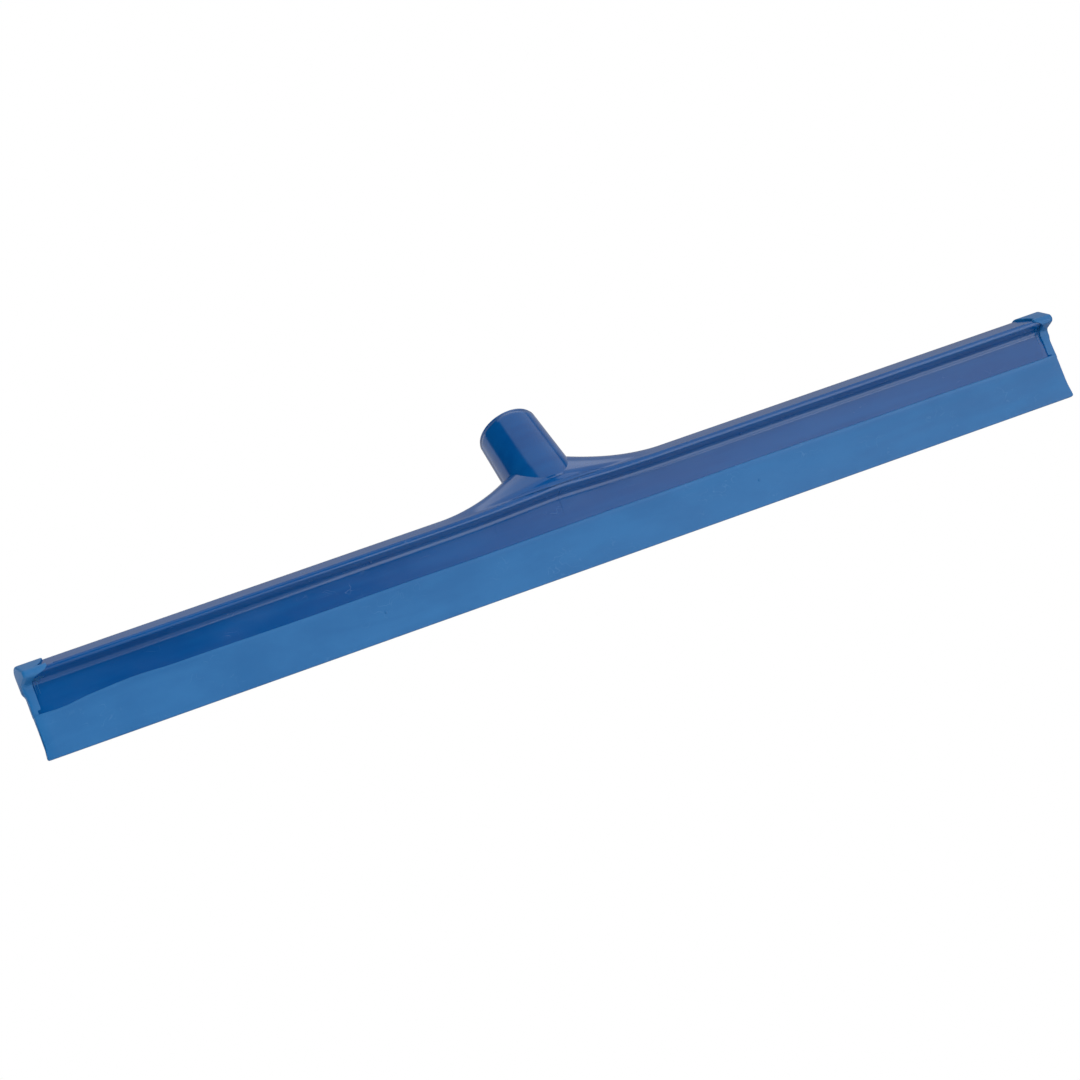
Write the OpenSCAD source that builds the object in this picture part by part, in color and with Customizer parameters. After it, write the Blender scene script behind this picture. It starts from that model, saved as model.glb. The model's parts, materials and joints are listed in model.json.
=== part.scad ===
// One-piece floor squeegee head with a moulded-in handle socket.
// X runs along the blade, -Y is the front, +Z is up.
// The origin is the centre of the socket's mouth, on the socket's axis.
// The sections below are drawn in blade coordinates, where Z = 0 is the wiping edge
// and Y = 0 is the blade's middle plane, and every node is then moved to the origin.

/* [Blade] */
// Length of the wiping edge
blade_len = 600; // [300:5:900]
// How much further each end of the wiping edge reaches than the top of the blade
blade_flare = 0.9; // [0:0.1:1.5]
// Height of the soft blade below the frame
blade_h = 24.6; // [22:0.1:40]
// Thickness of the blade where it leaves the frame
root_t = 4.2; // [3.4:0.1:5]
// Thickness at the wiping edge
edge_t = 2.6; // [1.6:0.1:3]
// Radius of the two blunt corners of the wiping edge
corner_r = 1.2; // [0.4:0.1:2]
// Height of the line about which the lip bends
flex_z = 19.6; // [15:0.1:20]
// Gap between the bonded root and the round top of the lip
flex_gap = 0.3; // [0.3:0.05:0.6]

/* [Beam] */
// Height of the crest above the wiping edge
crest_z = 48.5; // [46:0.1:54]
// Radius of the crest
crest_r = 4.2; // [3:0.1:5]
// Place of the crest in front of (-) or behind (+) the blade's middle plane
crest_y = -0.6; // [-1.5:0.1:0.5]
// How far the ridge reaches in front of the blade's middle plane
ridge_reach = 12.4; // [9:0.1:15]
// Height of the middle of the ridge's round nose
ridge_z = 42.8; // [41:0.1:44]
// Radius of the ridge's nose
ridge_r = 1.5; // [1:0.1:2]
// Slope of the underside of the ridge
ridge_under_slope = 12; // [6:1:20]
// Radius of the hollow between the underside and the front face
hollow_r = 3.4; // [2:0.1:4]
// How far the back of the beam lies behind the blade's middle plane
beam_back = 3.6; // [3:0.1:5]
// Height at which the back steps in to the thin web
back_step_z = 36; // [33:0.1:38]
// Thickness of the tongue that the blade is bonded to
tongue_t = 1.6; // [1:0.1:2]
// Height over which the back steps in
back_step_drop = 2; // [1:0.1:3]

/* [End caps] */
// Length of a cap along the crest
cap_len = 15; // [12:0.5:20]
// Length of a cap along the ridge
cap_ridge_len = 9.5; // [7:0.5:11]
// Length of a cap on the web
cap_web_len = 5.6; // [5:0.1:6.5]
// Thickness of a cap's end wall
cap_wall = 3.2; // [2:0.1:4]
// How far a cap stands above the crest and the ridge
cap_proud = 1.1; // [0.5:0.1:1.5]
// How far a cap stands in front of the front face
cap_proud_front = 0.4; // [0.2:0.1:0.8]

/* [Handle socket] */
// Angle between the socket and the plane of the blade
socket_tilt = 30; // [25:1:35]
// Length of the socket from its mouth to the end of its thread
socket_len = 40; // [36:1:44]
// Outer radius at the mouth
mouth_r = 16.4; // [15.5:0.1:17]
// Outer radius at the end of the thread
base_r = 18.2; // [17.2:0.1:19]
// Radius of the plain collar inside the mouth
collar_r = 12.4; // [11.5:0.1:12.6]
// Depth of the plain collar
collar_depth = 12; // [8:1:14]
// Radius of the threaded part of the bore, at the crest of the thread
thread_r = 10.6; // [9:0.1:11]
// Thickness of the closed floor below the thread
floor_t = 5; // [4:0.5:6]
// Distance from the blade's middle plane back to the end of the thread, on the axis
socket_back = 9.7; // [8:0.1:12]
// Height of the end of the thread on the axis
socket_z = 51.5; // [50:0.1:54]

/* [Gusset] */
// Height of the gusset beside the socket, above the crest
gusset_rise = 10.5; // [8:0.5:12]
// Length of the flare on each side of the socket
gusset_flare = 47; // [30:1:60]
// How hollow the flare is: 1 is a straight slope
gusset_curve = 1.8; // [1:0.1:3]
// How far back the gusset reaches
gusset_back = 23; // [18:0.5:25]
// How far the gusset's back corners are drawn in beside the socket
gusset_corner = 4; // [2:0.5:6]
// Height of the gusset's steep foot, above the crest
gusset_foot = 2; // [1:0.5:4]
// How far the gusset's back reaches below the crest
gusset_drop = 8; // [6:0.5:10]

/* [Hidden] */

pp_blue = "#1f5f9f";
tpe_blue = "#2f6fab";
bore_fn = 96;
arc_steps = 8;
flare_steps = 8;
// how far a shape reaches into the one that it is joined to
overlap = 1;
// how far a cutting shape runs past what it cuts
slack = 1;
// the same between two cutting shapes that share a face
eps = 0.01;

half_len = blade_len / 2;
root_half_len = half_len - blade_flare;
root_z = flex_z + root_t / 2 + flex_gap;
beam_half_len = half_len - cap_wall;
cap_start = half_len - cap_len;

crest = [crest_y, crest_z - crest_r];
nose = [ridge_r - ridge_reach, ridge_z];
web_half_t = root_t / 2;

lead_in = collar_r - thread_r;
thread_len = socket_len - collar_depth - lead_in;
mouth = [0, socket_back + socket_len * sin(socket_tilt), socket_z + socket_len * cos(socket_tilt)];

// Points on an arc, with both of its ends
function arc(centre, r, from, to) =
    [for (i = [0:arc_steps]) centre + r * [cos(from + (to - from) * i / arc_steps),
                                           sin(from + (to - from) * i / arc_steps)]];

// Direction of the normal of the line that touches both the nose and the crest from above
top_normal = 90 + atan2(crest.y - nose.y, crest.x - nose.x)
    + asin((crest_r - ridge_r) / norm(crest - nose));

// Front face, hollow, ridge, sloping top, crest and back of the beam above bottom_z,
// as [y, z]. It stands proud by face_grow on the web and by grow everywhere else.
function beam_outline(grow, face_grow, bottom_z) =
    let (face_y = web_half_t + face_grow,
         slope = tan(ridge_under_slope),
         nose_r = ridge_r + grow,
         under_z = nose.y - nose_r / cos(ridge_under_slope) + slope * (nose.x + face_y),
         hollow_z = under_z - hollow_r / cos(ridge_under_slope) + slope * hollow_r,
         step_z = back_step_z - grow)
    concat([[-face_y, bottom_z]],
           arc([-face_y - hollow_r, hollow_z], hollow_r, 0, 90 - ridge_under_slope),
           arc(nose, nose_r, 270 - ridge_under_slope, top_normal),
           arc(crest, crest_r + grow, top_normal, 0),
           [[beam_back + grow, step_z], [face_y, step_z - back_step_drop], [face_y, bottom_z]]);

// Moves a shape drawn in blade coordinates to the origin in the socket's mouth
module from_mouth() {
    translate(-mouth) children();
}

// Extrudes an outline drawn as [y, z] along X between two stations
module along_x(x0, x1) {
    translate([x0, 0, 0]) rotate([90, 0, 90]) linear_extrude(x1 - x0) children();
}

// Places a shape on the socket's axis, with Z = 0 at the end of the thread
module on_socket_axis() {
    translate([0, socket_back, socket_z]) rotate([-socket_tilt, 0, 0]) children();
}

// Outside of the socket, down to its closed floor
module socket_outside() {
    on_socket_axis() {
        cylinder(h = socket_len, r1 = base_r, r2 = mouth_r, $fn = bore_fn);
        translate([0, 0, -floor_t]) cylinder(h = floor_t, r = base_r, $fn = bore_fn);
    }
}

// Side view of the gusset as [y, z], which rises from the ridge and falls to the beam's back
module gusset_side() {
    top_z = crest_z + gusset_rise;
    foot = [nose.x + 2 * ridge_r, crest_z + gusset_foot];
    shoulder = [socket_back - base_r / 3, top_z];
    polygon([nose, nose + [0, ridge_r], foot, shoulder, [socket_back, top_z],
             [gusset_back, crest_z + 2 * gusset_foot], [gusset_back, crest_z - gusset_drop],
             [beam_back, back_step_z], [crest.x, nose.y - ridge_r]]);
}

// One hollow flare as [x, height], from the side of the socket out to the plain beam
function flare(low, high) =
    [for (i = [0:flare_steps])
        let (t = i / flare_steps)
        [base_r - overlap + gusset_flare * t, low + (high - low) * pow(1 - t, gusset_curve)]];

// The same outline to both sides of the middle: a flat foot at foot_y, and a peak between two flares
module flared(foot_y, low, high, peak) {
    right = flare(low, high);
    left = [for (i = [flare_steps:-1:0]) [-right[i].x, right[i].y]];
    foot_x = right[flare_steps].x;
    polygon(concat([[-foot_x, foot_y]], left, [[0, peak]], right, [[foot_x, foot_y]]));
}

// Space that the gusset fills, beam and socket included: its side, front and top views crossed
module gusset_space() {
    foot_x = base_r - overlap + gusset_flare;
    top_z = crest_z + gusset_rise;
    intersection() {
        along_x(-foot_x, foot_x) gusset_side();
        translate([0, gusset_back, 0]) rotate([90, 0, 0]) linear_extrude(gusset_back + ridge_reach)
            flared(back_step_z - overlap, crest_z - overlap, top_z, top_z + gusset_corner);
        linear_extrude(top_z + gusset_corner)
            flared(-ridge_reach, beam_back - overlap, gusset_back - gusset_corner, gusset_back);
    }
}

// Outside of the right-hand end cap, as if it were solid
module end_cap_outside() {
    difference() {
        along_x(cap_start, half_len) polygon(beam_outline(cap_proud, cap_proud_front, blade_h));
        // slanting inner edge across the sloping top
        linear_extrude(crest_z + crest_r)
            polygon([[cap_start - slack, crest.x], [cap_start - slack, -2 * ridge_reach],
                     [half_len - cap_ridge_len, -2 * ridge_reach],
                     [half_len - cap_ridge_len, nose.x + ridge_r], [cap_start, crest.x]]);
        // only a strip of it covers the web, in front up to the ridge and behind up to the step
        translate([cap_start - slack, -2 * ridge_reach, blade_h - slack])
            cube([cap_len + slack - cap_web_len, 2 * ridge_reach, ridge_z - ridge_r - blade_h]);
        translate([cap_start - slack, 0, blade_h - slack])
            cube([cap_len + slack - cap_web_len, 2 * ridge_reach, back_step_z - blade_h]);
    }
}

// Right-hand end cap, a cup that closes over the end of the beam
module end_cap() {
    difference() {
        end_cap_outside();
        along_x(cap_start - slack, beam_half_len) polygon(beam_outline(0, 0, blade_h - slack));
    }
}

// Outside of the beam, as long as its end walls allow
module beam_bar() {
    along_x(-beam_half_len, beam_half_len) polygon(beam_outline(0, 0, blade_h));
}

// Stiff beam with its ridge, its web and the tongue that the blade is bonded to
module beam() {
    color(pp_blue) from_mouth() {
        beam_bar();
        translate([-beam_half_len, -tongue_t / 2, root_z])
            cube([2 * beam_half_len, tongue_t, blade_h - root_z + overlap]);
    }
}

// Flared support that carries the socket on the beam
module gusset() {
    color(pp_blue) from_mouth() difference() {
        gusset_space();
        beam_bar();
        socket_outside();
    }
}

// Tapered tube that takes the handle: a plain collar, a 45 degree lead-in and the thread bore
module handle_socket() {
    color(pp_blue) from_mouth() difference() {
        socket_outside();
        on_socket_axis() {
            cylinder(h = thread_len + eps, r = thread_r, $fn = bore_fn);
            translate([0, 0, thread_len]) cylinder(h = lead_in, r1 = thread_r, r2 = collar_r, $fn = bore_fn);
            translate([0, 0, socket_len - collar_depth])
                cylinder(h = collar_depth + slack, r = collar_r, $fn = bore_fn);
        }
    }
}

// Top of the blade, bonded round the tongue
module blade_root() {
    color(tpe_blue) from_mouth() difference() {
        along_x(-root_half_len, root_half_len)
            polygon([[-web_half_t, root_z], [web_half_t, root_z],
                     [web_half_t, blade_h], [-web_half_t, blade_h]]);
        translate([-beam_half_len, -tongue_t / 2, root_z - slack])
            cube([2 * beam_half_len, tongue_t, blade_h - root_z + 2 * slack]);
    }
}

// Bending part of the blade, which tapers to the wiping edge
module blade_lip() {
    color(tpe_blue) from_mouth() intersection() {
        along_x(-half_len, half_len) union() {
            polygon([[-edge_t / 2, 0], [edge_t / 2, 0], [web_half_t, flex_z], [-web_half_t, flex_z]]);
            translate([0, flex_z]) circle(r = web_half_t, $fn = bore_fn);
        }
        translate([0, web_half_t + slack, 0]) rotate([90, 0, 0]) linear_extrude(root_t + 2 * slack)
            polygon(concat(
                arc([half_len - corner_r, corner_r], corner_r, -90, 0),
                [[root_half_len, root_z], [-root_half_len, root_z]],
                arc([corner_r - half_len, corner_r], corner_r, 180, 270)));
    }
}

// Soft bumper over the left-hand end
module end_cap_left() {
    color(tpe_blue) from_mouth() mirror([1, 0, 0]) end_cap();
}

// Soft bumper over the right-hand end
module end_cap_right() {
    color(tpe_blue) from_mouth() end_cap();
}

beam();
gusset();
handle_socket();
blade_root();
blade_lip();
end_cap_left();
end_cap_right();
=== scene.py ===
"""Looks of a one-piece floor squeegee head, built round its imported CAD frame.

Shapes are drawn in blade millimetres: x along the blade, y = 0 in the blade's middle plane
with -y the front, and z = 0 at the wiping edge. in_frame() moves them to the frame's metres.
"""
import json
import math

import bpy
from mathutils import Matrix, Vector
from mathutils.bvhtree import BVHTree


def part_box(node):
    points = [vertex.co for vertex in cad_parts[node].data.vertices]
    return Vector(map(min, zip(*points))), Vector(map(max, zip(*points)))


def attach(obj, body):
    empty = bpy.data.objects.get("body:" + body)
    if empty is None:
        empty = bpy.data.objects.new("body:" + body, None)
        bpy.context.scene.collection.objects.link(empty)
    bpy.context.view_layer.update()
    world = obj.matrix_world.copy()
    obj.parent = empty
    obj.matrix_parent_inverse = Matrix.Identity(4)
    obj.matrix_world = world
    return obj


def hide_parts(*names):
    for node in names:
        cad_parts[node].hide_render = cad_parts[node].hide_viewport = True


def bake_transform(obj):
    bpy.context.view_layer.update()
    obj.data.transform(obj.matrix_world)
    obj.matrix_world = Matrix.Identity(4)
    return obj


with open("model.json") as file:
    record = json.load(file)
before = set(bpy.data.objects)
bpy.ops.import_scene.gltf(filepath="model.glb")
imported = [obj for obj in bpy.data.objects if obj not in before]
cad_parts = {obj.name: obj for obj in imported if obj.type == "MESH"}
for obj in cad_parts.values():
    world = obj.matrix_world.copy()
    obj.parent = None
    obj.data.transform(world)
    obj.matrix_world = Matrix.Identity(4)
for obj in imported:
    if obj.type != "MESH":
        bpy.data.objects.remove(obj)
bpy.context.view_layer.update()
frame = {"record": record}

MM = 0.001

# ------------------------------------------------------------------ sizes, from the frame

lip_low, lip_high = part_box("blade_lip")
root_low, root_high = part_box("blade_root")
beam_low, beam_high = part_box("beam")
_, gusset_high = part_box("gusset")
_, cap_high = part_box("end_cap_right")
_, socket_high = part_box("handle_socket")
mounts = {mount["name"]: mount for mount in frame["record"]["mounts"]}
collar = mounts["handle_collar"]
thread = mounts["handle_thread"]

EDGE_Z = lip_low.z
MID_Y = (root_low.y + root_high.y) / 2


def in_frame(x, y, z):
    """A point in blade millimetres, as a point of the frame."""
    return Vector((x * MM, MID_Y + y * MM, EDGE_Z + z * MM))


def height(z):
    """A height of the frame in blade millimetres."""
    return (z - EDGE_Z) / MM


half_blade = lip_high.x / MM
half_root = root_high.x / MM
half_beam = beam_high.x / MM
web_half = (root_high.y - MID_Y) / MM
border_z = height(root_high.z)
crest_z = height(beam_high.z)
ridge_reach = (MID_Y - beam_low.y) / MM
beam_back = (beam_high.y - MID_Y) / MM
cap_outer_x = cap_high.x / MM
cap_proud = height(cap_high.z) - crest_z

edge_half = 1.3
crest_r = 4.2
ridge_r = 1.5
hollow_r = 3.4
under_slope = 12
cap_face_proud = 0.4
crest_y = beam_back - crest_r
ridge_z = 42.8
nose = (ridge_r - ridge_reach, ridge_z)

# socket: s runs along its axis from the end of the thread to the mouth
axis = Vector(collar["axis"]).normalized()
collar_r = collar["dims"]["r_mm"]
collar_len = collar["dims"]["length_mm"]
thread_r = thread["dims"]["r_mm"]
thread_len = thread["dims"]["length_mm"]
lead_in = collar_r - thread_r
socket_len = thread_len + lead_in + collar_len
socket_tilt = math.atan2(axis.y, axis.z)
mouth_r = socket_high.z / MM / math.sin(socket_tilt)
base_r = socket_high.x / MM
thread_end = Vector((0, (0 - MID_Y) / MM, height(0))) - axis * socket_len

# ------------------------------------------------------------------ mesh helpers


def add_object(name, vertices, faces, material):
    """Makes a smooth-shaded mesh object from points in blade millimetres."""
    mesh = bpy.data.meshes.new(name)
    mesh.from_pydata([in_frame(*v) for v in vertices], [], faces)
    mesh.validate()
    mesh.update()
    mesh.polygons.foreach_set("use_smooth", [True] * len(mesh.polygons))
    mesh.materials.append(material)
    obj = bpy.data.objects.new(name, mesh)
    bpy.context.scene.collection.objects.link(obj)
    return obj


class Shape:
    """Points and faces of a mesh as it is built up from grids."""

    def __init__(self):
        self.points = []
        self.faces = []

    def grid(self, rows, closed_columns=False, flip=False):
        """Adds quads between rows of points, and returns the index of the first point."""
        first = len(self.points)
        count = len(rows[0])
        for row in rows:
            self.points.extend(row)
        column_pairs = count if closed_columns else count - 1
        for i in range(len(rows) - 1):
            for j in range(column_pairs):
                a = first + i * count + j
                b = first + i * count + (j + 1) % count
                c = first + (i + 1) * count + (j + 1) % count
                d = first + (i + 1) * count + j
                self.faces.append((a, d, c, b) if flip else (a, b, c, d))
        return first

    def cap(self, first, count, flip=False):
        """Closes a ring of points with one flat face."""
        ring = list(range(first, first + count))
        self.faces.append(tuple(reversed(ring)) if flip else tuple(ring))


BEAD_SIDES = 8


def add_bead(shape, x, path, bead_r, mirrored=False):
    """A thin raised line over the points (y, z) of a path, at station x, that thins out at both ends."""
    end_share = 0.25
    growth = 0.4
    rows = []
    for k, (y, z) in enumerate(path):
        ahead = Vector(path[min(k + 1, len(path) - 1)])
        behind = Vector(path[max(k - 1, 0)])
        along = (ahead - behind).normalized()
        out = Vector((-along.y, along.x))
        to_end = min(k, len(path) - 1 - k)
        thin_r = bead_r * min(1, end_share + to_end * growth)
        ring = []
        for i in range(BEAD_SIDES):
            a = math.tau * i / BEAD_SIDES
            lift = thin_r * math.cos(a)
            ring.append((x + thin_r * math.sin(a), y + out.x * lift, z + out.y * lift))
        rows.append(ring)
    first = shape.grid(rows, closed_columns=True, flip=not mirrored)
    shape.cap(first, BEAD_SIDES, flip=mirrored)
    shape.cap(first + (len(rows) - 1) * BEAD_SIDES, BEAD_SIDES, flip=not mirrored)


def smoothstep(low, high, value):
    t = min(max((value - low) / (high - low), 0), 1)
    return t * t * (3 - 2 * t)


def mix(a, b, t):
    return tuple(p + (q - p) * t for p, q in zip(a, b))


def tangent_corner(centre, radius, angle_a, angle_b):
    """Corner that an arc rounds off, as (y, z, cut). The arc takes the length cut off each edge."""
    half = math.radians(abs(angle_a - angle_b) / 2)
    middle = math.radians((angle_a + angle_b) / 2)
    reach = radius / math.cos(half)
    y = centre[0] + reach * math.cos(middle)
    z = centre[1] + reach * math.sin(middle)
    return (y, z, radius * math.tan(half))


# distance of the second point at either end of an outline from the first
CLOSE_BY = 0.2


def rounded_outline(corners, arc_steps=8, edge_steps=3):
    """Outline through (y, z, cut) corners, with an arc at each and always the same count of points."""
    out = []
    last = len(corners) - 1
    for i, (y, z, cut) in enumerate(corners):
        here = Vector((y, z))
        if i in (0, last):
            # a second point close by keeps the shading of the flat face level up to the sharp corner
            finish = here
            neighbour = Vector(corners[1 if i == 0 else last - 1][:2])
            close_by = here + (neighbour - here).normalized() * CLOSE_BY
            pair = [(y, z), (close_by.x, close_by.y)]
            out.extend(pair if i == 0 else reversed(pair))
        else:
            before = (Vector(corners[i - 1][:2]) - here).normalized()
            after = (Vector(corners[i + 1][:2]) - here).normalized()
            start = here + before * cut
            finish = here + after * cut
            weight = math.sqrt(max((1 - before.dot(after)) / 2, 0))
            for k in range(arc_steps + 1):
                t = k / arc_steps
                parts = ((1 - t) ** 2, 2 * t * (1 - t) * weight, t * t)
                point = (start * parts[0] + here * parts[1] + finish * parts[2]) / sum(parts)
                out.append((point.x, point.y))
        if i < last:
            following = Vector(corners[i + 1][:2])
            arrive = following
            if i + 1 < last:
                arrive = following + (here - following).normalized() * corners[i + 1][2]
            for k in range(1, edge_steps):
                point = finish.lerp(arrive, k / edge_steps)
                out.append((point.x, point.y))
    return out


# ------------------------------------------------------------------ section of the beam

# the slope on top touches the arc of the nose and the arc of the crest
nose_to_crest = (crest_y - nose[0], crest_z - crest_r - nose[1])
top_normal = 90 + math.degrees(
    math.atan2(nose_to_crest[1], nose_to_crest[0])
    + math.asin((crest_r - ridge_r) / math.hypot(*nose_to_crest))
)
back_upper_z = 42.5
back_lower_z = 39.5
back_step_z = 36
back_step_drop = 2
# shares of the slope where the gusset's section has corners
slope_shares = (0.36, 0.5, 0.62)


def beam_corners(grow=0.0, face_grow=0.0, foot_z=border_z):
    """Corners of the beam's section from the front foot over the ridge and the crest to the back foot."""
    face_y = web_half + face_grow
    slope = math.tan(math.radians(under_slope))
    slope_cos = math.cos(math.radians(under_slope))
    under_z = nose[1] - (ridge_r + grow) / slope_cos + slope * (nose[0] + face_y)
    hollow_z = under_z - hollow_r / slope_cos + slope * hollow_r
    hollow = tangent_corner((-face_y - hollow_r, hollow_z), hollow_r, 0, 90 - under_slope)
    tip = tangent_corner(nose, ridge_r + grow, 270 - under_slope, top_normal)
    crest = tangent_corner((crest_y, crest_z - crest_r), crest_r + grow, top_normal, 0)
    on_slope = [(*mix(tip[:2], crest[:2], t), 0.6) for t in slope_shares]
    step_z = back_step_z - grow
    return [
        (-face_y, foot_z, 0),
        hollow,
        tip,
        *on_slope,
        crest,
        (beam_back + grow, back_upper_z, 1.0),
        (beam_back + grow, back_lower_z, 1.0),
        (beam_back + grow, step_z, 0.8),
        (face_y, step_z - back_step_drop, 0.9),
        (face_y, foot_z, 0),
    ]


# how far the ridge rises and draws back in the middle of the head
ridge_lift = 1.4
nose_draw = 1.4
# corners of beam_corners() as they are in the middle of the head, in front of, over and behind the socket
HOOD = {
    3: (-12.3, 46.5, 1.8),
    4: (-12.0, 50.4, 2.0),
    5: (-2.2, 58.9, 5.5),
    6: (7.5, 66.0, 6.3),
    7: (25.0, 66.0, 5.0),
    8: (25.0, 41.5, 4.0),
    9: (9.0, 37.2, 4.5),
    10: (2.1, 33.6, 0.9),
}
hood_power = 1.8
hood_blunt = 7.0
gusset_reach = gusset_high.x / MM


def hood_weight(x):
    """1 in the middle of the head, falling off in a hollow curve to 0 at the end of the gusset."""
    span = gusset_reach - hood_blunt
    return max((gusset_reach - math.hypot(x, hood_blunt)) / span, 0) ** hood_power


def border_wave(x):
    """Height of the border between the two plastics, which wanders near the left end."""
    near_left = smoothstep(-205, -245, x)
    dip = -1.9 * smoothstep(-268, -292, x)
    wave = 0.8 * math.sin((x + 262) / 13.0) * near_left * smoothstep(-297, -280, x)
    drift = 0.22 * math.sin(x / 61.0) + 0.1 * math.sin(x / 17.0 + 1.0)
    return border_z + drift + (wave + dip) * near_left


def frame_corners(x):
    """Corners of the frame's section at station x."""
    w = hood_weight(x)
    out = []
    for i, corner in enumerate(beam_corners(foot_z=border_wave(x))):
        goal = corner
        if i == 1:
            goal = (corner[0], corner[1] + ridge_lift, corner[2])
        if i == 2:
            goal = (corner[0] + nose_draw, corner[1] + ridge_lift, corner[2])
        out.append(mix(corner, HOOD.get(i, goal), w))
    return out


def stations(end, fine_to=64.8, fine=1.35, coarse=6.0):
    """x of each section, close together by the socket."""
    count = round(fine_to / fine)
    half = [fine_to * i / count for i in range(count + 1)]
    steps = math.ceil((end - fine_to) / coarse)
    half += [fine_to + (end - fine_to) * (i + 1) / steps for i in range(steps)]
    return [-x for x in reversed(half[1:])] + half


cleared_r = 16.0
floor_thickness = 1.5


def below_floor(point):
    """Moves a point that would fill the socket's bore down its axis, to under its floor."""
    offset = Vector(point) - thread_end
    s = offset.dot(axis)
    radial = (offset - axis * s).length
    if radial < cleared_r and s > -floor_thickness:
        return tuple(Vector(point) - axis * (floor_thickness + s))
    return point


# ------------------------------------------------------------------ materials


def new_material(name):
    material = bpy.data.materials.new(name)
    material.use_nodes = True
    tree = material.node_tree
    tree.nodes.clear()
    output = tree.nodes.new("ShaderNodeOutputMaterial")
    shader = tree.nodes.new("ShaderNodeBsdfPrincipled")
    tree.links.new(shader.outputs["BSDF"], output.inputs["Surface"])
    return material, tree, shader


def node(tree, kind, inputs=None, **settings):
    made = tree.nodes.new(kind)
    for key, value in settings.items():
        setattr(made, key, value)
    for key, value in (inputs or {}).items():
        if isinstance(value, bpy.types.NodeSocket):
            tree.links.new(value, made.inputs[key])
        else:
            made.inputs[key].default_value = value
    return made


def stretched(tree, scale):
    """Object coordinates in metres, scaled along each axis."""
    coordinates = node(tree, "ShaderNodeTexCoord")
    mapping = node(tree, "ShaderNodeMapping", {"Vector": coordinates.outputs["Object"], "Scale": scale})
    return mapping.outputs["Vector"]


def noise_field(tree, scale, detail=3.0, roughness=0.55, distortion=0.0):
    """Noise with one feature per unit of the scaled coordinates, as a value from 0 to 1."""
    made = node(
        tree,
        "ShaderNodeTexNoise",
        {
            "Vector": stretched(tree, scale),
            "Scale": 1.0,
            "Detail": detail,
            "Roughness": roughness,
            "Distortion": distortion,
        },
    )
    return made.outputs["Fac"]


def remap(tree, value, low, high, to_low, to_high):
    made = node(
        tree,
        "ShaderNodeMapRange",
        {"Value": value, "From Min": low, "From Max": high, "To Min": to_low, "To Max": to_high},
        interpolation_type="SMOOTHSTEP",
    )
    return made.outputs["Result"]


def calculate(tree, operation, a, b):
    return node(tree, "ShaderNodeMath", {0: a, 1: b}, operation=operation).outputs[0]


def blend_colours(tree, factor, a, b):
    made = tree.nodes.new("ShaderNodeMix")
    made.data_type = "RGBA"
    for socket, value in ((made.inputs[0], factor), (made.inputs[6], a), (made.inputs[7], b)):
        if isinstance(value, bpy.types.NodeSocket):
            tree.links.new(value, socket)
        else:
            socket.default_value = value
    return made.outputs[2]


def weighted(tree, a, b, share):
    """A share of the first value plus the rest of the second."""
    first = calculate(tree, "MULTIPLY", a, share)
    second = calculate(tree, "MULTIPLY", b, 1 - share)
    return calculate(tree, "ADD", first, second)


def bump(tree, value, distance, strength, normal=None):
    inputs = {"Height": value, "Distance": distance, "Strength": strength}
    if normal is not None:
        inputs["Normal"] = normal
    return node(tree, "ShaderNodeBump", inputs).outputs["Normal"]


def scratches(tree, scale, width, threshold):
    """Thin broken lines, as a value that is 1 on a line. A higher threshold leaves fewer of them."""
    lines = noise_field(tree, scale, detail=1.0, distortion=0.6)
    broken = noise_field(tree, tuple(c * 0.31 for c in scale), detail=2.0)
    near = calculate(tree, "ABSOLUTE", calculate(tree, "SUBTRACT", lines, 0.5), 0.0)
    line = remap(tree, near, 0.0, width, 1.0, 0.0)
    kept = remap(tree, broken, threshold, threshold + 0.12, 0.0, 1.0)
    return calculate(tree, "MULTIPLY", line, kept)


def frame_plastic():
    """Glossy moulded polypropylene: flow streaks, faint clouds, handling scuffs, a slightly wavy skin."""
    material, tree, shader = new_material("frame_plastic")
    deep = (0.0003, 0.064, 0.245, 1)
    pale = (0.0012, 0.082, 0.285, 1)
    worn = (0.04, 0.15, 0.37, 1)
    clouds = noise_field(tree, (14, 40, 40), detail=4.0)
    streaks = noise_field(tree, (9, 160, 160), detail=5.0, distortion=0.4)
    flow = weighted(tree, clouds, streaks, 0.6)
    base = blend_colours(tree, remap(tree, flow, 0.36, 0.64, 0.0, 1.0), deep, pale)
    scuffs = scratches(tree, (120, 420, 260), 0.018, 0.56)
    base = blend_colours(tree, calculate(tree, "MULTIPLY", scuffs, 0.3), base, worn)
    tree.links.new(base, shader.inputs["Base Color"])
    haze = remap(tree, noise_field(tree, (30, 90, 90), detail=5.0), 0.3, 0.7, 0.1, 0.17)
    rough = calculate(tree, "ADD", haze, calculate(tree, "MULTIPLY", scuffs, 0.2))
    tree.links.new(rough, shader.inputs["Roughness"])
    shader.inputs["IOR"].default_value = 1.5
    skin = bump(tree, noise_field(tree, (22, 70, 70), detail=2.0), 0.0005, 0.22)
    grain = bump(tree, noise_field(tree, (900, 900, 900), detail=2.0), 0.00004, 0.25, skin)
    tree.links.new(grain, shader.inputs["Normal"])
    return material


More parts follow.
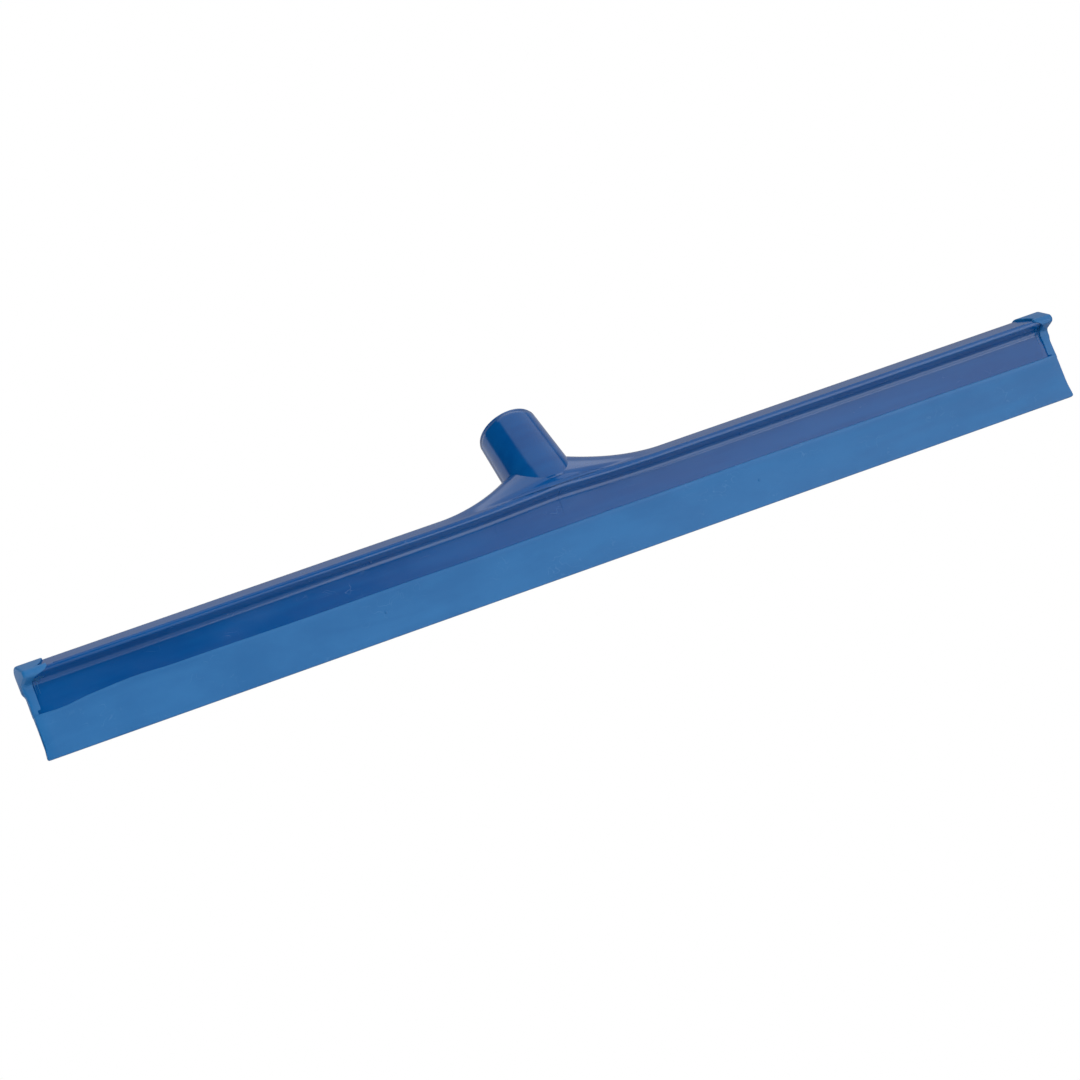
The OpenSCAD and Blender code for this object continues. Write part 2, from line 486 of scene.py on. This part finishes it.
def soft_blade():
    """Satin thermoplastic elastomer: flow smears, dull patches and fine scuffs."""
    material, tree, shader = new_material("soft_blade")
    deep = (0.005, 0.118, 0.332, 1)
    pale = (0.012, 0.145, 0.38, 1)
    worn = (0.07, 0.22, 0.46, 1)
    smears = noise_field(tree, (11, 60, 46), detail=5.0, distortion=0.9)
    patches = noise_field(tree, (38, 38, 60), detail=4.0)
    flow = weighted(tree, smears, patches, 0.6)
    base = blend_colours(tree, remap(tree, flow, 0.34, 0.66, 0.0, 1.0), deep, pale)
    scuffs = scratches(tree, (150, 300, 210), 0.02, 0.52)
    base = blend_colours(tree, calculate(tree, "MULTIPLY", scuffs, 0.35), base, worn)
    tree.links.new(base, shader.inputs["Base Color"])
    dull = remap(tree, smears, 0.3, 0.7, 0.36, 0.5)
    tree.links.new(dull, shader.inputs["Roughness"])
    shader.inputs["IOR"].default_value = 1.48
    wave = bump(tree, noise_field(tree, (26, 60, 60), detail=3.0), 0.0006, 0.3)
    grain = bump(tree, noise_field(tree, (1100, 1100, 1100), detail=3.0), 0.00005, 0.45, wave)
    tree.links.new(grain, shader.inputs["Normal"])
    return material


def floor_paint():
    material, tree, shader = new_material("pale_floor")
    grey = (0.78, 0.78, 0.78, 1)
    pale = (0.82, 0.82, 0.82, 1)
    tone = remap(tree, noise_field(tree, (3, 3, 3), detail=3.0), 0.3, 0.7, 0.0, 1.0)
    tree.links.new(blend_colours(tree, tone, grey, pale), shader.inputs["Base Color"])
    shader.inputs["Roughness"].default_value = 0.9
    return material


PLASTIC = frame_plastic()
SOFT = soft_blade()

# ------------------------------------------------------------------ frame moulding


STUD_SIDES = 16


def stud(shape, centre, direction, radius, rise):
    """A small domed gate mark that stands on a face, with its foot sunk in it."""
    steps = 4
    sunk = 0.3
    tip_r = 0.02
    out = Vector(direction).normalized()
    side = out.cross(Vector((1, 0, 0))).normalized()
    along = out.cross(side)
    rows = []
    for k in range(steps + 1):
        turn = math.radians(90 * k / steps)
        ring_r = radius * math.cos(turn) + tip_r
        middle = Vector(centre) + out * (-sunk if k == 0 else rise * math.sin(turn))
        row = []
        for i in range(STUD_SIDES):
            a = math.tau * i / STUD_SIDES
            row.append(tuple(middle + (side * math.cos(a) + along * math.sin(a)) * ring_r))
        rows.append(row)
    first = shape.grid(rows, closed_columns=True)
    shape.cap(first + steps * STUD_SIDES, STUD_SIDES)
    shape.cap(first, STUD_SIDES, flip=True)


def surface_of(rows):
    """The surface between rows of points, to cast rays at."""
    count = len(rows[0])
    points = [p for row in rows for p in row]
    faces = []
    for i in range(len(rows) - 1):
        for j in range(count - 1):
            a = i * count + j
            faces.append((a, a + 1, a + count + 1, a + count))
    return BVHTree.FromPolygons(points, faces)


def add_gate_marks(shape, surface):
    """A stud in the hollow under the ridge, on either side of the socket."""
    gate_x = 108.3
    below_hollow = (-6.0, 38.0)
    into_hollow = Vector((0, 0.62, 0.78))
    for side in (-1, 1):
        start = Vector((gate_x * side, *below_hollow))
        place, normal = surface.ray_cast(start, into_hollow)[:2]
        outward = -normal if normal.dot(into_hollow) > 0 else normal
        stud(shape, place, outward, radius=0.9, rise=0.5)


# weld lines up the front, as (x, height of the upper end, radius)
WELD_LINES = [(0.6, 44.0, 0.13), (-38.0, 37.0, 0.09), (29.0, 34.0, 0.07)]


def add_weld_lines(shape):
    front_points = 40
    foot_z = border_z + 0.6
    for x, top_z, bead_r in WELD_LINES:
        front = rounded_outline(frame_corners(x))[1:front_points]
        path = [p for p in front if p[0] < 0 and foot_z < p[1] < top_z]
        add_bead(shape, x, path, bead_r)


def add_parting_line(shape):
    """Thin line of flash along the top of the ridge's nose."""
    line_end = 283
    nose_y = -10.5
    nose_top_z = 47
    rows = []
    for x in stations(line_end, fine_to=60, fine=4.0, coarse=4.0):
        outline = rounded_outline(frame_corners(x))
        near_nose = [p for p in outline if p[0] < nose_y and p[1] < nose_top_z]
        y, z = max(near_nose, key=lambda p: p[1] * 0.8 - p[0] * 0.6)
        line_r = 0.15 + 0.035 * math.sin(x * 0.19) + 0.03 * math.sin(x * 0.53 + 1)
        row = []
        for k in range(BEAD_SIDES):
            a = math.tau * k / BEAD_SIDES
            row.append((x, y + line_r * math.cos(a), z + line_r * math.sin(a)))
        rows.append(row)
    first = shape.grid(rows, closed_columns=True)
    shape.cap(first, BEAD_SIDES, flip=True)
    shape.cap(first + (len(rows) - 1) * BEAD_SIDES, BEAD_SIDES)


def build_frame():
    shape = Shape()
    end_gap = 0.4
    sections = []
    for x in stations(half_beam - end_gap):
        sections.append([(x, y, z) for y, z in rounded_outline(frame_corners(x))])
    rows = [[below_floor(p) for p in section] for section in sections]
    count = len(rows[0])
    first = shape.grid(rows, closed_columns=True)
    shape.cap(first, count, flip=True)
    shape.cap(first + (len(rows) - 1) * count, count)
    add_gate_marks(shape, surface_of(sections))
    add_weld_lines(shape)
    add_parting_line(shape)
    return add_object("frame_moulding", shape.points, shape.faces, PLASTIC)


frame_moulding = build_frame()
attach(frame_moulding, "head")
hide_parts("beam", "gusset")

# ------------------------------------------------------------------ socket

ROUND = 96
side_a = Vector((1, 0, 0))
side_b = side_a.cross(axis).normalized()


def on_socket(s, radius, turn):
    """Point on the socket: turn 0 is +x and a quarter turn is the front."""
    return thread_end + axis * s + (side_a * math.cos(turn) + side_b * math.sin(turn)) * radius


def outer_radius(s):
    return base_r + (mouth_r - base_r) * max(s, 0) / socket_len


def foot_place(turn):
    """Where the buried foot ends along the axis: it reaches deepest in front."""
    depth = 5.4
    slant = 7.4
    return -depth - slant * math.sin(turn)


def wall_rings():
    """Rings up the outside, over the rim and down the collar's wall to the end of the lead-in."""
    rim_r = 1.3
    lip_r = 0.7
    step_in = 0.25
    step_s = socket_len - rim_r - 0.5
    tube_s = 6.0
    foot_steps = 10
    tube_steps = 12
    rings = []
    for k in range(foot_steps):
        t = k / foot_steps
        rings.append(lambda a, t=t: ((1 - t) * foot_place(a) + t * tube_s, None))
    for k in range(tube_steps + 1):
        s = tube_s + (step_s - tube_s) * k / tube_steps
        rings.append(lambda a, s=s: (s, None))
    rings.append(lambda a: (step_s + 0.12, mouth_r - step_in))
    for k in range(7):
        turn = math.radians(15 * k)
        s = socket_len - rim_r + rim_r * math.sin(turn)
        r = mouth_r - step_in - rim_r + rim_r * math.cos(turn)
        rings.append(lambda a, s=s, r=r: (s, r))
    for k in range(5):
        turn = math.radians(22.5 * k)
        s = socket_len - lip_r + lip_r * math.cos(turn)
        r = collar_r + lip_r - lip_r * math.sin(turn)
        rings.append(lambda a, s=s, r=r: (s, r))
    collar_end = socket_len - collar_len
    for k in range(1, 5):
        s = socket_len - lip_r - (collar_len - lip_r) * k / 4
        rings.append(lambda a, s=s: (s, collar_r))
    lead_gap = 0.35
    for k in range(1, 4):
        fall = lead_in * k / 3
        rings.append(lambda a, fall=fall: (collar_end - fall, collar_r - fall + lead_gap))
    return rings


def bore_rings():
    """Rings down the thread, and in over the floor."""
    pitch = 5.0
    depth = 1.1
    thread_steps = 60
    top = socket_len - collar_len - lead_in
    rings = []
    for k in range(thread_steps + 1):
        s = (top - 1.0) * (1 - k / thread_steps)

        def threaded(a, s=s):
            phase = (s / pitch + a / math.tau) % 1
            crest = smoothstep(0.12, 0.3, phase) * (1 - smoothstep(0.62, 0.8, phase))
            fade = smoothstep(0, 1.5, s) * smoothstep(0, 2.0, top - s)
            return (s, thread_r + depth * (1 - crest) * fade)

        rings.append(threaded)
    for k in range(1, 5):
        rings.append(lambda a, r=thread_r * (1 - k / 5): (0.0, r))
    return rings


def build_socket():
    """Each ring gives (s, radius) at a turn, and a radius of None is the tube's own outer radius."""
    shape = Shape()
    rows = []
    for ring in wall_rings() + bore_rings():
        row = []
        for i in range(ROUND):
            a = math.tau * i / ROUND
            s, r = ring(a)
            row.append(tuple(on_socket(s, outer_radius(s) if r is None else r, a)))
        rows.append(row)
    first = shape.grid(rows, closed_columns=True)
    shape.cap(first, ROUND, flip=True)
    shape.cap(first + (len(rows) - 1) * ROUND, ROUND)
    return add_object("socket_tube", shape.points, shape.faces, PLASTIC)


socket_tube = build_socket()
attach(socket_tube, "head")
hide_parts("handle_socket")

# ------------------------------------------------------------------ soft blade


def rounded_by(radius, z):
    """How much a rounding at the wiping edge takes off at a height."""
    return radius - math.sqrt(max(radius ** 2 - max(radius - z, 0) ** 2, 0))


def blade_end(z):
    """Half-length of the blade at a height. It flares towards the wiping edge and has blunt corners."""
    flare = (half_blade - half_root) * (1 - smoothstep(0, 9.0, z))
    return half_root + flare - rounded_by(1.2, z)


def blade_half(z):
    """Half of the blade's thickness at a height."""
    full_z = border_z - 5
    return edge_half + (web_half - edge_half) * min(z / full_z, 1) - rounded_by(0.45, z)


def build_blade():
    shape = Shape()
    heights = [0, 0.1, 0.25, 0.45, 0.8, 1.2, 1.8, 2.6, 3.8, 5.4, 7.2, 9.0, 11.5, 14.0, 16.5, 18.5, 20.2]
    # flash along the border, as (height from the border, how far it stands out)
    flash = [(-1.8, 0.0), (-1.0, 0.1), (-0.35, 0.25), (-0.1, 0.27), (0.05, 0.15), (0.25, -0.2)]
    end_r = 0.6
    gate_x = 109.4
    gate_z = 13.6

    def face(share, inset, side, squeeze):
        """Points up one face at one station, from the wiping edge to the border."""
        out = []
        for z in heights:
            out.append((share * (blade_end(z) - inset), side * blade_half(z) * squeeze, z))
        top = border_wave(share * half_root)
        for lift, proud in flash:
            out.append((share * (half_root - inset), side * (web_half * squeeze + proud), top + lift))
        return out

    def ring(share, inset=0.0, squeeze=1.0):
        return face(share, inset, -1, squeeze) + list(reversed(face(share, inset, 1, squeeze)))

    # insets and thicknesses of the rings that round off each end of the blade
    rounding = []
    for k in range(4):
        turn = math.radians(90 - 30 * k)
        rounding.append((end_r * (1 - math.sin(turn)), 1 - 0.4 * (1 - math.cos(turn))))
    shares = [x / half_blade for x in stations(half_blade, fine_to=60, fine=6.0, coarse=6.0)]
    rows = [ring(-1, inset, squeeze) for inset, squeeze in rounding]
    rows += [ring(share) for share in shares[1:-1]]
    rows += [ring(1, inset, squeeze) for inset, squeeze in reversed(rounding)]
    count = len(rows[0])
    first = shape.grid(rows, closed_columns=True)
    shape.cap(first, count, flip=True)
    shape.cap(first + (len(rows) - 1) * count, count)
    for side in (-1, 1):
        place = (gate_x * side, -blade_half(gate_z), gate_z)
        stud(shape, place, (0, -1, 0), radius=0.8, rise=0.25)
    return add_object("soft_blade", shape.points, shape.faces, SOFT)


blade = build_blade()
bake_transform(blade)
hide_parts("blade_root", "blade_lip")

# ------------------------------------------------------------------ end bumpers


def bumper_corners(grow, face_grow):
    """The beam's section grown outwards, with feet that sink into the blade."""
    fade_z = border_z + 9.0
    foot_z = border_z - 2.0
    sunk = web_half - 0.12
    corners = beam_corners(grow, face_grow, fade_z)
    corners[0] = (*corners[0][:2], 1.5)
    corners[-1] = (*corners[-1][:2], 1.5)
    return [(-sunk, foot_z, 0)] + corners + [(sunk, foot_z, 0)]


# where the bumper's inner edge lies, as (place on the section, distance from the middle of the head):
# a strip on the front face, a tongue along the top of the ridge, a notch, and the crest
STRIP_X = 294.6
EDGE_LEFT = [
    (0, STRIP_X), (2.2, 294.4), (2.86, 294.0), (2.93, 292.6), (2.98, 288.4), (3.03, 286.8), (3.12, 286.4),
    (3.3, 290.2), (3.5, 291.4), (4.0, 290.2), (5.0, 287.8), (6.0, 286.2), (6.9, 285.0), (9.5, 285.0),
    (10.2, 286.5), (11.0, STRIP_X), (14, STRIP_X),
]
EDGE_RIGHT = [
    (0, STRIP_X), (2.2, 294.2), (2.86, 293.6), (2.95, 292.0), (3.03, 288.6), (3.2, 288.0), (3.45, 289.4),
    (4.0, 289.6), (5.0, 288.6), (6.0, 286.4), (6.88, 284.8), (7.0, 283.2), (9.5, 283.6), (10.2, 286.0),
    (11.0, STRIP_X), (14, STRIP_X),
]


def follow(knots, place):
    """Value at a place along a list of (place, value) knots."""
    for (p0, v0), (p1, v1) in zip(knots, knots[1:]):
        if place <= p1:
            t = (place - p0) / (p1 - p0)
            return v0 + (v1 - v0) * max(t, 0)
    return knots[-1][1]


def outline_places(last, arc_steps, edge_steps):
    """Place of each point of rounded_outline(): corner i is at i, and its arc runs arc_span each way."""
    arc_span = 0.12
    close_by = 0.02
    places = [0.0, close_by]
    for i in range(last + 1):
        if 0 < i < last:
            places.extend(i - arc_span + 2 * arc_span * k / arc_steps for k in range(arc_steps + 1))
        if i == last:
            places.extend((last - close_by, float(last)))
        else:
            lead = i + arc_span if i else 0
            reach = i + 1 - arc_span - lead
            places.extend(lead + reach * k / edge_steps for k in range(1, edge_steps))
    return places


def build_bumper(name, side):
    """A skin over the end of the beam, from its sunk inner edge over a rounded lip to its rounded end."""
    knots = EDGE_LEFT if side < 0 else EDGE_RIGHT
    shape = Shape()
    arc_steps = 12
    edge_steps = 6
    places = outline_places(len(bumper_corners(0, 0)) - 1, arc_steps, edge_steps)

    def outline(grow, face_grow):
        return rounded_outline(bumper_corners(grow, face_grow), arc_steps, edge_steps)

    end_r = 1.6
    lip_r = 0.5
    outer = cap_outer_x - 0.15
    web_outer = half_root + 0.02

    def outer_at(z):
        """The bumper's end stands a little proud of the blade's, above the web."""
        return web_outer + (outer - web_outer) * smoothstep(border_z + 7.5, border_z + 11.0, z)

    sink = 0.25
    face_sink = 0.2
    rows = [[(side * follow(knots, p), y, z) for p, (y, z) in zip(places, outline(-sink, -face_sink))]]
    for k in range(6):
        turn = math.radians(18 * k)
        share = 0.5 + 0.5 * math.sin(turn)
        section = outline(cap_proud * share, cap_face_proud * share)
        inset = lip_r * (1 - math.cos(turn))
        rows.append([
            (side * (follow(knots, p) + inset), y, z)
            for p, (y, z) in zip(places, section)
        ])
    section = outline(cap_proud, cap_face_proud)
    body_steps = 4
    for k in range(1, body_steps + 1):
        t = k / body_steps
        rows.append([
            (side * ((follow(knots, p) + lip_r) * (1 - t) + (outer_at(z) - end_r) * t), y, z)
            for p, (y, z) in zip(places, section)
        ])
    for k in range(1, 7):
        turn = math.radians(15 * k)
        shrink = end_r * (1 - math.cos(turn))
        section = outline(cap_proud - shrink, cap_face_proud - shrink * 0.75)
        rows.append([(side * (outer_at(z) - end_r + end_r * math.sin(turn)), y, z) for y, z in section])
    count = len(rows[0])
    first = shape.grid(rows, closed_columns=True, flip=side < 0)
    shape.cap(first + (len(rows) - 1) * count, count, flip=side < 0)
    shape.cap(first, count, flip=side > 0)
    add_beads(shape, side)
    return add_object(name, shape.points, shape.faces, SOFT)


def add_beads(shape, side):
    """Two thin raised lines beside the bumper's strip, up the front face and into the hollow."""
    front_points = 14
    foot_z = 29
    front = rounded_outline(beam_corners(0.02, 0.02))[:front_points]
    path = [p for p in front if p[1] > foot_z]
    for x in (291.9, 293.5):
        add_bead(shape, side * x, path, 0.2, mirrored=side < 0)


for bumper_name, cap_node, cap_side in (
    ("end_bumper_left", "end_cap_left", -1),
    ("end_bumper_right", "end_cap_right", 1),
):
    bumper = build_bumper(bumper_name, cap_side)
    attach(bumper, "head")
    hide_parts(cap_node)

# ------------------------------------------------------------------ floor, light, camera


def look_along(location, target):
    """A matrix that places something at location with its -Z towards target and no roll."""
    turn = (target - location).to_track_quat("-Z", "Y")
    return Matrix.Translation(location) @ turn.to_matrix().to_4x4()


def build_floor():
    """A round floor, low enough to stay out of the view of the camera, which looks up at the head."""
    radius = 2.6
    depth = 0.62
    sides = 96
    mesh = bpy.data.meshes.new("studio_floor")
    middle = in_frame(0, 0, 0) - Vector((0, 0, depth))
    ring = []
    for i in range(sides):
        a = math.tau * i / sides
        ring.append(middle + Vector((radius * math.cos(a), radius * math.sin(a), 0)))
    mesh.from_pydata(ring, [], [tuple(range(sides))])
    mesh.materials.append(floor_paint())
    floor = bpy.data.objects.new("studio_floor", mesh)
    bpy.context.scene.collection.objects.link(floor)


# brightness of the studio between its lights
DARK_ROOM = 0.012
# broad lights, as (azimuth, elevation, half-width, softness of the edge, brightness)
ROOM_LIGHTS = [
    (48.5, 6, 28.3, 2.4, 1.5),
    (62, 68, 41, 3, 0.85),
    (158, 28, 40, 6, 0.46),
    (-146, 12, 21, 3, 0.9),
]


def softbox(name, azimuth, elevation, distance, width, tall, power, reflected_only=False, flat=False):
    """An area light aimed at the head, or facing up if flat, for its reflection only or for all but that."""
    a = math.radians(azimuth)
    e = math.radians(elevation)
    middle = in_frame(0, 0, 40)
    away = Vector((math.sin(a) * math.cos(e), -math.cos(a) * math.cos(e), math.sin(e)))
    light = bpy.data.lights.new(name, "AREA")
    light.shape = "RECTANGLE"
    light.size = width
    light.size_y = tall
    light.energy = power
    lamp = bpy.data.objects.new(name, light)
    bpy.context.scene.collection.objects.link(lamp)
    place = middle + away * distance
    lamp.matrix_world = look_along(place, place + Vector((0, 0.001, 1)) if flat else middle)
    lamp.visible_camera = False
    lamp.visible_glossy = reflected_only
    lamp.visible_diffuse = not reflected_only


def build_world():
    """White to the camera; to everything else a dark studio with broad soft lights."""
    world = bpy.data.worlds.new("studio")
    world.use_nodes = True
    bpy.context.scene.world = world
    tree = world.node_tree
    tree.nodes.clear()
    output = tree.nodes.new("ShaderNodeOutputWorld")
    direction = node(tree, "ShaderNodeTexCoord").outputs["Generated"]
    total = DARK_ROOM
    for azimuth, elevation, width, soft, bright in ROOM_LIGHTS:
        a = math.radians(azimuth)
        e = math.radians(elevation)
        towards = (math.sin(a) * math.cos(e), -math.cos(a) * math.cos(e), math.sin(e))
        facing = node(tree, "ShaderNodeVectorMath", {0: direction, 1: towards}, operation="DOT_PRODUCT")
        outer = math.cos(math.radians(width + soft))
        inner = math.cos(math.radians(width - soft))
        glow = remap(tree, facing.outputs["Value"], outer, inner, 0.0, bright)
        total = calculate(tree, "ADD", glow, total)
    room = node(tree, "ShaderNodeBackground", {"Color": (0.97, 0.97, 1.0, 1), "Strength": total})
    seen = node(tree, "ShaderNodeBackground", {"Color": (1, 1, 1, 1), "Strength": 1.0})
    path = node(tree, "ShaderNodeLightPath")
    mixed = node(tree, "ShaderNodeMixShader", {0: path.outputs["Is Camera Ray"]})
    tree.links.new(room.outputs[0], mixed.inputs[1])
    tree.links.new(seen.outputs[0], mixed.inputs[2])
    tree.links.new(mixed.outputs[0], output.inputs["Surface"])


def build_camera():
    """The photograph's camera, fitted to its outline. The roll is its tilt about the line of sight."""
    azimuth = math.radians(-21)
    elevation = math.radians(-6)
    roll = math.radians(21.70)
    distance = 2.3
    target = in_frame(-16.62, 0, 22.47)
    back = Vector((
        math.sin(azimuth) * math.cos(elevation),
        -math.cos(azimuth) * math.cos(elevation),
        math.sin(elevation),
    ))
    right = Vector((math.cos(azimuth), math.sin(azimuth), 0))
    up = back.cross(right)
    rolled_right = right * math.cos(roll) - up * math.sin(roll)
    rolled_up = right * math.sin(roll) + up * math.cos(roll)
    camera_data = bpy.data.cameras.new("camera")
    camera_data.sensor_width = 36
    camera_data.lens = 149.1
    camera_data.clip_start = 0.05
    camera_data.clip_end = 50
    camera = bpy.data.objects.new("camera", camera_data)
    bpy.context.scene.collection.objects.link(camera)
    turn = Matrix((rolled_right, rolled_up, back)).transposed().to_4x4()
    camera.matrix_world = Matrix.Translation(target + back * distance) @ turn
    bpy.context.scene.camera = camera


build_floor()
build_world()
softbox("fill_front", -8, 16, 2.2, 2.4, 1.6, 26.5)
softbox("fill_left", -80, 8, 2.0, 1.6, 1.2, 13)
softbox("low_card", 35.5, -13, 1.32, 0.5, 0.25, 1.3, reflected_only=True)
softbox("table_card", 40, -37, 1.02, 0.85, 0.9, 4.2, reflected_only=True, flat=True)
build_camera()
bpy.context.scene.view_settings.view_transform = "Standard"
